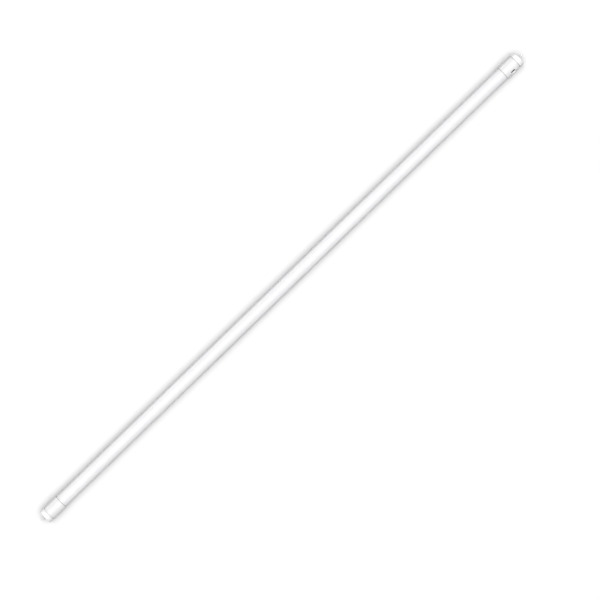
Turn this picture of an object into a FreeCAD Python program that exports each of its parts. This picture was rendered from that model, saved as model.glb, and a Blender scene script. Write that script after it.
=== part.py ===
import FreeCAD
import Part
import Sketcher
import math
import os
import re

# A 1200 mm T8 light tube with end caps that turn. X runs along the tube and the origin is the
# tube's middle. Each part is drawn with the light leaving along Z and the pins side by side along Y,
# and is then laid on its side, so that in the finished frame the light leaves along -Y and the two
# pins of each end stand one above the other. Lengths are millimetres, angles are degrees.

os.makedirs("parts", exist_ok=True)
doc = FreeCAD.newDocument("LightTube")

SIZES = [
    # the lamp's standard lengths, measured from its middle
    ("faceReach", 599.1),
    ("pinLength", 7.1),
    ("pinRadius", 1.175),
    ("pinSeatRadius", 1.35),
    ("pinTailRadius", 1.0),
    ("pinCollarRadius", 1.8),
    ("pinNose", 0.75),
    ("pinPlay", 0.03),
    ("pinSpacing", 12.7),
    # the opal tube
    ("tubeRadius", 13.0),
    ("tubeWall", 1.2),
    ("railDepth", 1.1),
    ("railHeight", 0.7),
    # end caps, from the face inwards
    ("headLength", 9.5),
    ("grooveWidth", 1.0),
    ("sleeveLength", 30.5),
    ("sleeveRadius", 14.0),
    ("headRadius", 13.7),
    ("headRound", 1.8),
    ("faceWall", 2.5),
    ("seatDepth", 9.0),
    ("webThickness", 2.0),
    ("frontWall", 2.5),
    ("hubRadius", 10.2),
    ("hubBore", 8.4),
    ("hubReach", 11.3),
    ("shoulderRadius", 12.4),
    ("sleeveBore", 12.3),
    ("runningGap", 0.1),
    # the vent slot in each sleeve
    ("ventLength", 8.8),
    ("ventNear", 6.0),
    ("ventFar", 11.2),
    ("ventDepth", 10.5),
    # travel stop and click stops
    ("lugRadius", 12.0),
    ("lugHalfAngle", 10.0),
    ("turnLimit", 90.0),
    ("stopPlay", 0.5),
    ("clickPitch", 15.0),
    ("clickDepth", 0.55),
    ("clickWidth", 1.8),
    ("springThickness", 0.25),
    ("springHalfAngle", 18.0),
    ("fluteRadius", 0.6),
    ("fluteDepth", 0.15),
    ("fluteCount", 48),
    # retaining ring
    ("ringRadius", 11.9),
    ("ringGroove", 9.6),
    ("ringThickness", 1.0),
    ("ringPlay", 0.2),
    # heat sink and light boards
    ("barReach", 566.8),
    ("barHalfWidth", 11.2),
    ("barFloor", 1.0),
    ("barThickness", 1.2),
    ("portAcross", 8.8),
    ("portDrop", 2.4),
    ("portRadius", 1.9),
    ("portBore", 1.15),
    ("boardLength", 565.5),
    ("boardWidth", 10.0),
    ("boardThickness", 1.0),
    ("tapeThickness", 0.2),
    ("boardGap", 1.0),
    ("packageCount", 48),
    ("packageLength", 3.5),
    ("packageWidth", 2.8),
    ("packageHeight", 0.7),
    # driver, measured from the middle towards the left end
    ("driverFar", 552.0),
    ("driverNear", 350.0),
    ("driverHalfWidth", 6.3),
    ("driverTop", 0.4),
    ("filmThickness", 0.3),
    ("filmHalfWidth", 6.8),
    # leads and screws
    ("leadRadius", 0.65),
    ("dcLeadRadius", 0.5),
    ("screwRadius", 1.1),
    ("screwHeadRadius", 1.9),
    ("screwHeadHeight", 1.5),
    ("screwLength", 9.5),
]

sheet = doc.addObject("Spreadsheet::Sheet", "Sizes")
for row, (alias, number) in enumerate(SIZES, start=1):
    sheet.set(f"A{row}", alias)
    sheet.set(f"B{row}", str(number))
    sheet.setAlias(f"B{row}", alias)
doc.recompute()
ALIASES = {alias for alias, _ in SIZES}

# places along the tube, each worked out from the driving sizes
headBack = "(faceReach - headLength)"
sleeveFront = "(faceReach - headLength - grooveWidth)"
sleeveBack = "(faceReach - headLength - grooveWidth - sleeveLength)"
tubeEnd = "(faceReach - headLength - grooveWidth - sleeveLength + seatDepth)"
webFront = f"({tubeEnd} + webThickness)"
wallBack = f"({sleeveFront} - frontWall)"
hubEnd = f"({headBack} - hubReach)"
faceInside = "(faceReach - faceWall)"
tubeBore = "(tubeRadius - tubeWall)"
barTop = "(barFloor + barThickness)"
boardFloor = f"({barTop} + tapeThickness)"
boardTop = f"({boardFloor} + boardThickness)"
driverUnder = "(driverTop + 1)"

# stations of the parts inside a cap, outwards from the hub's end
clickBand = (f"{hubEnd}", f"{hubEnd} + 2.8")
lugBand = (f"{hubEnd} + 3.3", f"{hubEnd} + 5.9")
ringBand = (f"{wallBack} - ringPlay - ringThickness", f"{wallBack} - ringPlay")
boardBand = ("faceReach - 5.5", "faceReach - 4.5")
PIN_PLACES = ("pinSpacing / 2", "-pinSpacing / 2")

RIGHT, LEFT = 0, 180
LAID = FreeCAD.Rotation(FreeCAD.Vector(1, 0, 0), 90)
parts = []


def bound(text):
    """The expression with each alias named as a cell of the sheet."""
    return re.sub(r"[A-Za-z]\w*", lambda m: f"Sizes.{m[0]}" if m[0] in ALIASES else m[0], str(text))


def size(text):
    """The expression's value now, in millimetres or degrees."""
    return float(sheet.evalExpression(bound(text)))


# ---- sketches and features ----

def laidAt(turn):
    """How a part lies in the finished frame: at the right end, or turned round to the left one."""
    return LAID * FreeCAD.Rotation(FreeCAD.Vector(0, 0, 1), turn)


def newBody(label, turn=RIGHT):
    body = doc.addObject("PartDesign::Body", label)
    body.Label = label
    body.Placement.Rotation = laidAt(turn)
    parts.append(body)
    return body


def newSketch(body, role, offset="0"):
    """A sketch on one of the body's own origin planes, moved along that plane's normal."""
    sketch = body.newObject("Sketcher::SketchObject", f"{body.Label}_sketch")
    plane = next(f for f in body.Origin.OriginFeatures if f.Role == role)
    sketch.AttachmentSupport = [(plane, "")]
    sketch.MapMode = "FlatFace"
    sketch.setExpression("AttachmentOffset.Base.z", bound(offset))
    return sketch


def fixAlong(sketch, kind, edge, end, text):
    """Holds one point of a sketch at a distance from the origin, along one direction."""
    index = sketch.addConstraint(Sketcher.Constraint(kind, -1, 1, edge, end, size(text)))
    sketch.setExpression(f"Constraints[{index}]", bound(text))


def fixPoint(sketch, edge, end, across, up):
    fixAlong(sketch, "DistanceX", edge, end, across)
    fixAlong(sketch, "DistanceY", edge, end, up)


def addOutline(sketch, corners):
    """A closed outline of straight edges through the corners."""
    spots = [FreeCAD.Vector(size(across), size(up), 0) for across, up in corners]
    first = sketch.GeometryCount
    for here, there in zip(spots, spots[1:] + spots[:1]):
        sketch.addGeometry(Part.LineSegment(here, there), False)
    count = len(corners)
    for step in range(count):
        after = first + (step + 1) % count
        sketch.addConstraint(Sketcher.Constraint("Coincident", first + step, 2, after, 1))
    for step, (across, up) in enumerate(corners):
        fixPoint(sketch, first + step, 1, across, up)


def addBox(sketch, left, right, low, high):
    addOutline(sketch, [(left, low), (right, low), (right, high), (left, high)])


def addCircle(sketch, across, up, radius):
    centre = FreeCAD.Vector(size(across), size(up), 0)
    circle = Part.Circle(centre, FreeCAD.Vector(0, 0, 1), size(radius))
    edge = sketch.addGeometry(circle, False)
    index = sketch.addConstraint(Sketcher.Constraint("Radius", edge, size(radius)))
    sketch.setExpression(f"Constraints[{index}]", bound(radius))
    fixPoint(sketch, edge, 3, across, up)


def polar(radius, angle):
    """Expressions for a point at this radius, the angle measured from straight up."""
    return f"({radius}) * sin(({angle}) * 1 deg)", f"({radius}) * cos(({angle}) * 1 deg)"


def addSector(sketch, inner, outer, start, end):
    """Part of a ring, from one angle to another, both measured from straight up."""
    middle = FreeCAD.Vector(0, 0, 0)
    up = FreeCAD.Vector(0, 0, 1)
    low = math.radians(90 - size(end))
    high = math.radians(90 - size(start))
    arcs = []
    for radius in (inner, outer):
        arc = Part.ArcOfCircle(Part.Circle(middle, up, size(radius)), low, high)
        arcs.append(sketch.addGeometry(arc, False))
        sketch.addConstraint(Sketcher.Constraint("Coincident", arcs[-1], 3, -1, 1))
    for point, angle in ((1, end), (2, start)):
        for arc, radius in zip(arcs, (inner, outer)):
            across, upwards = polar(radius, angle)
            # the first end holds the arc's radius too, so the second needs only its angle held
            steep = abs(math.sin(math.radians(size(angle)))) > 0.7
            if point == 1 or not steep:
                fixAlong(sketch, "DistanceX", arc, point, across)
            if point == 1 or steep:
                fixAlong(sketch, "DistanceY", arc, point, upwards)
        ends = [sketch.getPoint(arc, point) for arc in arcs]
        line = sketch.addGeometry(Part.LineSegment(*ends), False)
        for arc, tip in zip(arcs, (1, 2)):
            sketch.addConstraint(Sketcher.Constraint("Coincident", line, tip, arc, point))


def addFeature(body, kind, sketch, length=None):
    feature = body.newObject(f"PartDesign::{kind}", f"{body.Label}_{kind.lower()}")
    feature.Profile = sketch
    sketch.Visibility = False
    if length is not None:
        feature.setExpression("Length", bound(length))
    return feature


def pad(body, span, draw):
    """Material along X over the span, its section drawn by a function of the sketch."""
    sketch = newSketch(body, "YZ_Plane", span[0])
    draw(sketch)
    return addFeature(body, "Pad", sketch, f"({span[1]}) - ({span[0]})")


def pocket(body, span, draw):
    """A cut along X over the span. It must take something away."""
    doc.recompute()
    before = body.Shape.Volume
    sketch = newSketch(body, "YZ_Plane", span[0])
    draw(sketch)
    feature = addFeature(body, "Pocket", sketch, f"({span[1]}) - ({span[0]})")
    feature.Reversed = True
    doc.recompute()
    assert body.Shape.Volume < before - 1e-6, f"a cut in {body.Label} takes nothing away"
    return feature


def revolve(body, corners):
    """A turned shape: its section in the XY plane, spun about X."""
    sketch = newSketch(body, "XY_Plane")
    addOutline(sketch, corners)
    feature = addFeature(body, "Revolution", sketch)
    feature.ReferenceAxis = (sketch, ["H_Axis"])
    feature.Angle = 360
    return feature


def repeatAround(body, feature, count, angle=360):
    """The feature repeated about the tube's axis."""
    pattern = body.newObject("PartDesign::PolarPattern", f"{body.Label}_pattern")
    pattern.Originals = [feature]
    axis = next(f for f in body.Origin.OriginFeatures if f.Role == "X_Axis")
    pattern.Axis = (axis, [""])
    pattern.Angle = angle
    pattern.Occurrences = count
    body.Tip = pattern
    return pattern


def roundEdges(body, amount, wanted):
    """Rounds the body's edges that the test picks, each edge as it lies in the body's own frame."""
    doc.recompute()
    base = body.Tip
    edges = [f"Edge{i}" for i, edge in enumerate(base.Shape.Edges, start=1) if wanted(edge)]
    assert edges, f"no edge of {body.Label} to treat"
    fillet = body.newObject("PartDesign::Fillet", f"{body.Label}_fillet")
    fillet.Base = (base, edges)
    fillet.setExpression("Radius", bound(amount))


def circleAt(place, radius):
    """A test for a full circular edge about X at one place along it."""
    def test(edge):
        curve = edge.Curve
        if not isinstance(curve, Part.Circle) or abs(curve.Radius - size(radius)) > 0.01:
            return False
        return abs(abs(curve.Center.x) - size(place)) < 0.01
    return test


def setShape(label, shape, turn=RIGHT):
    """A sub-part whose shape is made directly, for groups of solids and for leads."""
    piece = doc.addObject("Part::Feature", label)
    piece.Label = label
    piece.Shape = shape
    piece.Placement.Rotation = laidAt(turn)
    parts.append(piece)
    return piece


def block(x1, x2, y1, y2, z1, z2):
    low = FreeCAD.Vector(x1, y1, z1)
    return Part.makeBox(x2 - x1, y2 - y1, z2 - z1, low)


# ---- the tube and what lies along it ----

def makeDiffuserTube():
    body = newBody("diffuser_tube")
    span = (f"-{tubeEnd}", tubeEnd)

    def ring(sketch):
        addCircle(sketch, "0", "0", "tubeRadius")
        addCircle(sketch, "0", "0", tubeBore)

    def rails(sketch):
        # one rail above and one below each edge of the heat sink
        inner = f"({tubeBore} - railDepth)"
        outer = f"({tubeBore} + 0.3)"
        for low in (f"({barTop} + 0.15)", "(barFloor - 0.15 - railHeight)"):
            high = f"({low} + railHeight)"
            addBox(sketch, inner, outer, low, high)
            addBox(sketch, f"-{outer}", f"-{inner}", low, high)

    pad(body, span, ring)
    pad(body, span, rails)


def makeHeatSink():
    body = newBody("heat_sink")
    span = ("-barReach", "barReach")
    sides = ("", "-")

    def plate(sketch):
        addBox(sketch, "-barHalfWidth", "barHalfWidth", "barFloor", barTop)

    def legs(sketch):
        addBox(sketch, "portAcross - 0.6", "portAcross + 0.6", "-portDrop + 1.2", "barFloor + 0.1")
        addBox(sketch, "-portAcross - 0.6", "-portAcross + 0.6", "-portDrop + 1.2", "barFloor + 0.1")

    def ports(radius):
        def draw(sketch):
            for side in sides:
                addCircle(sketch, f"{side}portAcross", "-portDrop", radius)
        return draw

    pad(body, span, plate)
    pad(body, span, legs)
    pad(body, span, ports("portRadius"))
    pocket(body, ("-barReach - 1", "barReach + 1"), ports("portBore"))
    # two holes that bring the driver's output leads up to the boards
    sketch = newSketch(body, "XY_Plane", barTop)
    for side in sides:
        addCircle(sketch, "-driverNear + 18", f"{side}6.6", "dcLeadRadius + 0.3")
    addFeature(body, "Pocket", sketch, "barThickness + 0.05")


def makeThermalTape():
    body = newBody("thermal_tape")
    half = "(boardLength + boardGap / 2)"

    def strip(sketch):
        addBox(sketch, "-boardWidth / 2", "boardWidth / 2", barTop, boardFloor)

    pad(body, (f"-{half}", half), strip)


def boardStart(side):
    """Where a board begins along X, for the left (-1) or the right (1) one."""
    return "boardGap / 2" if side > 0 else "-boardLength - boardGap / 2"


def makeLedBoard(name, side):
    body = newBody(f"led_board_{name}")
    start = boardStart(side)

    def strip(sketch):
        addBox(sketch, "-boardWidth / 2", "boardWidth / 2", boardFloor, boardTop)

    pad(body, (start, f"{start} + boardLength"), strip)


def makePackages(name, side):
    """The light-emitting packages of one board: white frames, and the yellow fill in each."""
    count = int(size("packageCount"))
    pitch = size("boardLength") / count
    floor = size(boardTop)
    top = floor + size("packageHeight")
    halfLength = size("packageLength") / 2
    halfWidth = size("packageWidth") / 2
    rim = 0.35
    wellFloor = floor + 0.2
    frame = block(-halfLength, halfLength, -halfWidth, halfWidth, floor, top)
    well = block(rim - halfLength, halfLength - rim, rim - halfWidth, halfWidth - rim, wellFloor, top)
    frame = frame.cut(well)
    frames = []
    fills = []
    for step in range(count):
        place = FreeCAD.Vector(size(boardStart(side)) + pitch * (step + 0.5), 0, 0)
        frames.append(frame.translated(place))
        fills.append(well.translated(place))
    setShape(f"led_packages_{name}", Part.makeCompound(frames))
    setShape(f"led_phosphor_{name}", Part.makeCompound(fills))


def makeBoardJumpers():
    """Two short straps that carry the current across the gap between the boards."""
    top = size(boardTop)
    straps = [block(-2.5, 2.5, y - 0.6, y + 0.6, top, top + 0.4) for y in (-3.2, 3.2)]
    setShape("board_jumpers", Part.makeCompound(straps))


# ---- the driver ----

def makeDriverBoard():
    body = newBody("driver_board")

    def strip(sketch):
        addBox(sketch, "-driverHalfWidth", "driverHalfWidth", f"-{driverUnder}", "-driverTop")

    pad(body, ("-driverFar", "-driverNear"), strip)


def makeDriverFilm():
    """A folded sleeve of insulating film around the driver, open at both ends."""
    body = newBody("driver_film")

    def fold(inset):
        def draw(sketch):
            half = f"(filmHalfWidth - {inset})"
            low = f"(-10.4 + {inset})"
            creaseHalf = f"(4.4 - 0.4 * {inset})"
            crease = f"(-8.4 + 0.4 * {inset})"
            top = f"(0.6 - {inset})"
            addOutline(sketch, [
                (f"-{half}", top), (f"-{half}", crease), (f"-{creaseHalf}", low),
                (creaseHalf, low), (half, crease), (half, top)])
        return draw

    ends = ("-driverFar - 4", "-driverNear + 4")
    pad(body, ends, fold("0"))
    pocket(body, ("-driverFar - 5", "-driverNear + 5"), fold("filmThickness"))


def makeLyingCan(name, start, length, radius):
    """A round component lying along the board, just under it."""
    body = newBody(name)
    drop = f"({driverUnder} + {radius} + 0.05)"
    pad(body, (start, f"{start} + {length}"), lambda sketch: addCircle(sketch, "0", f"-{drop}", radius))
    return body


def makeBlockPart(name, start, length, halfWidth, height, corner="0"):
    """A box-shaped component hanging under the board."""
    body = newBody(name)

    def section(sketch):
        addBox(sketch, f"-{halfWidth}", str(halfWidth), f"-{driverUnder} - {height}", f"-{driverUnder}")

    pad(body, (start, f"{start} + {length}"), section)
    if corner != "0":
        roundEdges(body, corner, lambda edge: isinstance(edge.Curve, Part.Line))
    return body


def makeChoke():
    """A drum core lying along the board, with its winding between the flanges."""
    start = "-518"
    drop = f"({driverUnder} + 3.95)"
    core = newBody("choke_core")
    pad(core, (start, f"{start} + 1.5"), lambda sketch: addCircle(sketch, "0", f"-{drop}", "3.9"))
    pad(core, (f"{start} + 1.4", f"{start} + 10.6"), lambda sketch: addCircle(sketch, "0", f"-{drop}", "1.9"))
    pad(core, (f"{start} + 10.5", f"{start} + 12"), lambda sketch: addCircle(sketch, "0", f"-{drop}", "3.9"))
    winding = newBody("choke_winding")

    def turns(sketch):
        addCircle(sketch, "0", f"-{drop}", "3.5")
        addCircle(sketch, "0", f"-{drop}", "1.95")

    pad(winding, (f"{start} + 1.6", f"{start} + 10.4"), turns)


def makeTransformer():
    """A flat ferrite core with two windows, a bobbin on its middle leg, and the winding on that."""
    start = "-462"
    middle = f"({driverUnder} + 4.1)"

    def frame(halfWidth, halfHeight):
        def draw(sketch):
            addBox(sketch, f"-{halfWidth}", str(halfWidth), f"-{middle} - {halfHeight}",
                   f"-{middle} + {halfHeight}")
        return draw

    core = newBody("transformer_core")
    pad(core, (start, f"{start} + 18"), frame("6.1", "2.2"))

    def windows(sketch):
        for left, right in (("2.2", "4.6"), ("-4.6", "-2.2")):
            addBox(sketch, left, right, f"-{middle} - 3", f"-{middle} + 3")

    pocket(core, (f"{start} + 2.5", f"{start} + 15.5"), windows)

    bobbin = newBody("transformer_bobbin")
    pad(bobbin, (f"{start} + 2.6", f"{start} + 15.4"), frame("2.6", "2.6"))
    for end in (f"{start} + 2.6", f"{start} + 14.8"):
        pad(bobbin, (end, f"{end} + 0.6"), frame("4.5", "4.0"))
    pocket(bobbin, (f"{start} + 2", f"{start} + 16"), frame("2.25", "2.25"))

    winding = newBody("transformer_winding")
    pad(winding, (f"{start} + 3.3", f"{start} + 14.7"), frame("4.3", "3.8"))
    pocket(winding, (f"{start} + 3", f"{start} + 15"), frame("2.65", "2.65"))
    roundEdges(winding, "0.8", lambda edge: edge.Length > 10
               and abs(edge.CenterOfMass.y) > 4)


def makeResistors():
    """The driver's small surface-mounted resistors, all alike."""
    floor = -size(driverUnder)
    places = [(-533, 4.6), (-503, 4.9), (-489, -4.9), (-440, 4.6), (-437, -4.6), (-428, 4.6), (-404, 2.5)]
    chips = [block(x - 1.6, x + 1.6, y - 0.8, y + 0.8, floor - 0.6, floor) for x, y in places]
    setShape("driver_resistors", Part.makeCompound(chips))


def makeVaristor():
    body = newBody("varistor")
    drop = f"({driverUnder} + 3.55)"
    pad(body, ("-537.2", "-534.7"), lambda sketch: addCircle(sketch, "0", f"-{drop}", "3.5"))
    roundEdges(body, "0.7", lambda edge: isinstance(edge.Curve, Part.Circle))


def makeDriverParts():
    makeDriverBoard()
    makeDriverFilm()
    makeLyingCan("input_fuse", "-549", "8", "1.5")
    makeVaristor()
    makeBlockPart("film_capacitor", "-531", "11", "3.0", "7.5", "0.5")
    makeChoke()
    makeBlockPart("bridge_rectifier", "-501", "8.3", "3.1", "2.5")
    can = makeLyingCan("input_capacitor", "-487", "20", "4.0")
    roundEdges(can, "0.6", lambda edge: isinstance(edge.Curve, Part.Circle))
    makeTransformer()
    makeBlockPart("control_chip", "-436", "4.9", "1.95", "1.5")
    can = makeLyingCan("output_capacitor", "-424", "16", "4.0")
    roundEdges(can, "0.6", lambda edge: isinstance(edge.Curve, Part.Circle))
    makeResistors()


# ---- leads ----

def leadShape(points, radius, share=0.45):
    """A round lead along straight runs joined by tangent arcs, each as large as its runs allow."""
    spots = [FreeCAD.Vector(*point) for point in points]
    edges = []
    here = spots[0]
    for before, corner, after in zip(spots, spots[1:], spots[2:]):
        back = (before - corner).normalize()
        ahead = (after - corner).normalize()
        reach = share * min((before - corner).Length, (after - corner).Length)
        turn = math.pi - back.getAngle(ahead)
        bend = reach / math.tan(turn / 2)
        enter = corner + back * reach
        leave = corner + ahead * reach
        inward = (back + ahead).normalize()
        centreReach = reach / math.sin(turn / 2)
        middle = corner + inward * (centreReach - bend)
        edges.append(Part.LineSegment(here, enter).toShape())
        edges.append(Part.Arc(enter, middle, leave).toShape())
        here = leave
    edges.append(Part.LineSegment(here, spots[-1]).toShape())
    path = Part.Wire(edges)
    start = Part.Circle(spots[0], spots[1] - spots[0], radius).toShape()
    lead = path.makePipeShell([Part.Wire(start)], True, False)
    expected = math.pi * radius ** 2 * path.Length
    assert abs(lead.Volume / expected - 1) < 0.02, f"lead volume {lead.Volume} for {expected}"
    return lead


def makeLeads():
    """Mains leads from the driver to the left head, and output leads up to the boards."""
    under = -(size(driverUnder) + size("driverTop")) / 2
    start = -size("driverFar")
    inside = -size(boardBand[0])
    for name, side in (("live_lead", 1), ("neutral_lead", -1)):
        route = [
            (start, side * 4.2, under), (start - 7, side * 4.2, under),
            (start - 15, side * 3.2, under - 1.2), (start - 23, side * 2.2, under - 1.8),
            (start - 31, side * 2.5, under - 1.0), (inside + 4, side * 3.2, 0), (inside, side * 3.2, 0)]
        setShape(name, leadShape(route, size("leadRadius")))
    near = -size("driverNear")
    hole = near + 18
    top = size(boardTop)
    for name, side in (("dc_lead_positive", 1), ("dc_lead_negative", -1)):
        route = [
            (near, side * 5.2, under), (near + 6, side * 5.2, under),
            (near + 12, side * 6.2, under - 0.6), (hole - 1.6, side * 6.55, under - 0.3),
            (hole, side * 6.6, under + 0.9), (hole, side * 6.6, top + 1.2),
            (hole, side * 5.8, top + 2.2), (hole, side * 4.6, top + 2.4),
            (hole, side * 4.1, top + 1.6), (hole, side * 4.1, top)]
        setShape(name, leadShape(route, size("dcLeadRadius")))


# ---- the end caps ----

def makeSleeve(name, turn):
    """The fixed part of an end cap: a barrel over the tube, a web, and a wall with the bearing bore."""
    body = newBody(f"sleeve_{name}", turn)
    seat = "(tubeRadius + 0.05)"
    edge = "0.4"
    backEdge = "0.65"
    revolve(body, [
        (sleeveBack, seat), (sleeveBack, f"sleeveRadius - {backEdge}"),
        (f"{sleeveBack} + {backEdge}", "sleeveRadius"),
        (f"{sleeveFront} - {edge}", "sleeveRadius"), (sleeveFront, f"sleeveRadius - {edge}"),
        (sleeveFront, "hubRadius + runningGap"), (wallBack, "hubRadius + runningGap"),
        (wallBack, "sleeveBore"), (webFront, "sleeveBore"), (webFront, "6"), (tubeEnd, "6"), (tubeEnd, seat)])

    # the rib that stops the head's lug at each end of its travel
    outer = "sleeveBore + 0.3"

    def rib(sketch):
        start = "(turnLimit + lugHalfAngle + stopPlay)"
        addSector(sketch, "hubRadius + 0.4", outer, start, f"(360 - {start})")

    pad(body, (f"{lugBand[0]} - 3.4", f"{lugBand[1]} + 0.1"), rib)

    # two ears that keep the click spring in place
    def ears(sketch):
        near = "springHalfAngle + 1.5"
        far = "springHalfAngle + 6"
        addSector(sketch, "sleeveBore - 0.9", outer, near, far)
        addSector(sketch, "sleeveBore - 0.9", outer, f"-({far})", f"-({near})")

    pad(body, (f"{clickBand[0]} - 0.1", clickBand[1]), ears)

    def screwHoles(sketch):
        for across in ("portAcross", "-portAcross"):
            addCircle(sketch, across, "-portDrop", "screwRadius + 0.2")

    pocket(body, (f"{tubeEnd} - 1", f"{webFront} + 1"), screwHoles)

    # a scale line every click, cut into the front edge, with a longer one at rest
    def line(sketch):
        addBox(sketch, "sleeveRadius - 0.2", "sleeveRadius + 0.2", "-0.2", "0.2")

    def longLine(sketch):
        addBox(sketch, "-0.25", "0.25", "sleeveRadius - 0.25", "sleeveRadius + 0.2")

    cut = pocket(body, (f"{sleeveFront} - 2.6", f"{sleeveFront} - 0.6"), line)
    repeatAround(body, cut, int(2 * size("turnLimit") / size("clickPitch")) + 1, 2 * size("turnLimit"))
    pocket(body, (f"{sleeveFront} - 4.6", f"{sleeveFront} - 2.4"), longLine)

    # the vent slot into the space between the web and the head's hub, beside the light's direction
    doc.recompute()
    before = body.Shape.Volume
    slot = newSketch(body, "XY_Plane", "sleeveRadius + 1")
    ventStart = f"({webFront} + 0.2)"
    addBox(slot, ventStart, f"{ventStart} + ventLength", "ventNear", "ventFar")
    addFeature(body, "Pocket", slot, "ventDepth")
    doc.recompute()
    assert body.Shape.Volume < before - 1, f"the slot in {body.Label} takes nothing away"


def makeHead(name, turn):
    """The turning part of an end cap: a rimmed face that holds the pins, on a hollow hub."""
    body = newBody(f"head_{name}", turn)
    edge = "0.4"
    groove = (ringBand[0], f"{wallBack} - 0.1")
    shoulder = f"({sleeveFront} + runningGap)"
    revolve(body, [
        (hubEnd, "hubBore"), (hubEnd, "hubRadius"),
        (f"{groove[0]} - 0.1", "hubRadius"), (f"{groove[0]} - 0.1", "ringGroove"),
        (groove[1], "ringGroove"), (groove[1], "hubRadius"),
        (shoulder, "hubRadius"), (shoulder, "shoulderRadius"), (headBack, "shoulderRadius"),
        (headBack, f"headRadius - {edge}"), (f"{headBack} + {edge}", "headRadius"),
        ("faceReach", "headRadius"), ("faceReach", "0"), (faceInside, "0"), (faceInside, "hubBore")])
    roundEdges(body, "headRound", circleAt("faceReach", "headRadius"))

    # the lug that meets the sleeve's rib at each end of the travel
    def lug(sketch):
        addSector(sketch, "hubRadius - 0.3", "lugRadius", "-lugHalfAngle", "lugHalfAngle")

    pad(body, lugBand, lug)

    # click notches all round the hub
    def notch(sketch):
        mouth = "hubRadius + 0.1"
        floor = "hubRadius - clickDepth"
        addOutline(sketch, [("-clickWidth / 2", mouth), ("0", floor), ("clickWidth / 2", mouth)])

    cut = pocket(body, (f"{clickBand[0]} - 0.5", clickBand[1]), notch)
    repeatAround(body, cut, int(360 / size("clickPitch")))

    # shallow flutes round the rim for the fingers
    def flute(sketch):
        addCircle(sketch, "0", "headRadius + fluteRadius - fluteDepth", "fluteRadius")

    cut = pocket(body, (f"{headBack} + 1.2", "faceReach - headRound - 0.6"), flute)
    repeatAround(body, cut, int(size("fluteCount")))

    def pinHoles(sketch):
        for across in PIN_PLACES:
            addCircle(sketch, across, "0", "pinSeatRadius + pinPlay")

    pocket(body, (f"{faceInside} - 1", "faceReach + 1"), pinHoles)

    # an arrow in the face that shows which way the light points
    def arrow(sketch):
        addOutline(sketch, [("-1.3", "8.2"), ("0", "10.4"), ("1.3", "8.2")])

    pocket(body, ("faceReach - 0.3", "faceReach + 1"), arrow)


def makeRetainingRing(name, turn):
    body = newBody(f"retaining_ring_{name}", turn)
    pad(body, ringBand, lambda sketch: addSector(sketch, "ringGroove + 0.05", "ringRadius", "30", "330"))


def makeDetentSpring(name, turn):
    """A leaf spring against the sleeve's bore, with a bump that drops into a click notch."""
    body = newBody(f"detent_spring_{name}", turn)
    leaf = "springThickness"
    outerSeat = "(sleeveBore - 0.1)"
    innerSeat = f"({outerSeat} - {leaf})"
    tip = "(hubRadius - clickDepth + 0.1)"
    end = "springHalfAngle"
    bend = "springHalfAngle / 2"
    innerBend = f"{bend} + 0.8"
    outline = [
        polar(outerSeat, f"-{end}"), polar(outerSeat, f"-{bend}"), ("0", f"{tip} + 1.35 * {leaf}"),
        polar(outerSeat, bend), polar(outerSeat, end), polar(innerSeat, end),
        polar(innerSeat, innerBend), ("0", tip), polar(innerSeat, f"-({innerBend})"),
        polar(innerSeat, f"-{end}")]
    pad(body, (f"{clickBand[0]} + 0.3", f"{clickBand[1]} - 0.3"), lambda sketch: addOutline(sketch, outline))


def makePinBoard(name, turn):
    body = newBody(f"pin_board_{name}", turn)

    def disc(sketch):
        addCircle(sketch, "0", "0", "hubBore - 0.3")
        addCircle(sketch, "0", "0", "1.6")
        for across in PIN_PLACES:
            addCircle(sketch, across, "0", "pinTailRadius + pinPlay")

    pad(body, boardBand, disc)


def makePins(name, turn):
    """Both contact pins of one head: tail, collar behind the face, seat in it, and rounded pin."""
    face = size("faceReach")
    tip = face + size("pinLength")
    steps = [
        (size(boardBand[0]) - 1.2, size("pinTailRadius")),
        (size(boardBand[1]), size("pinCollarRadius")),
        (size(faceInside), size("pinSeatRadius")),
        (face, size("pinRadius")),
    ]
    ends = [start for start, _ in steps[1:]] + [tip]
    along = FreeCAD.Vector(1, 0, 0)
    pins = []
    for place in PIN_PLACES:
        lengths = []
        for (start, radius), end in zip(steps, ends):
            foot = FreeCAD.Vector(start, size(place), 0)
            lengths.append(Part.makeCylinder(radius, end - start, foot, along))
        pin = lengths[0].fuse(lengths[1:]).removeSplitter()
        nose = [edge for edge in pin.Edges
                if abs(edge.BoundBox.XMin - tip) < 1e-6 and len(edge.Vertexes) == 1]
        pins.append(pin.makeFillet(size("pinNose"), nose))
    setShape(f"pins_{name}", Part.makeCompound(pins), turn)


def makeShortingLink():
    """The strap that joins the two pins of the end that isn't fed."""
    body = newBody("shorting_link")
    half = "(pinSpacing / 2 + 1.4)"

    def strap(sketch):
        addBox(sketch, f"-{half}", half, "-1.6", "1.6")
        for across in PIN_PLACES:
            addCircle(sketch, across, "0", "pinTailRadius + pinPlay")

    pad(body, (f"{boardBand[0]} - 0.6", boardBand[0]), strap)


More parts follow.
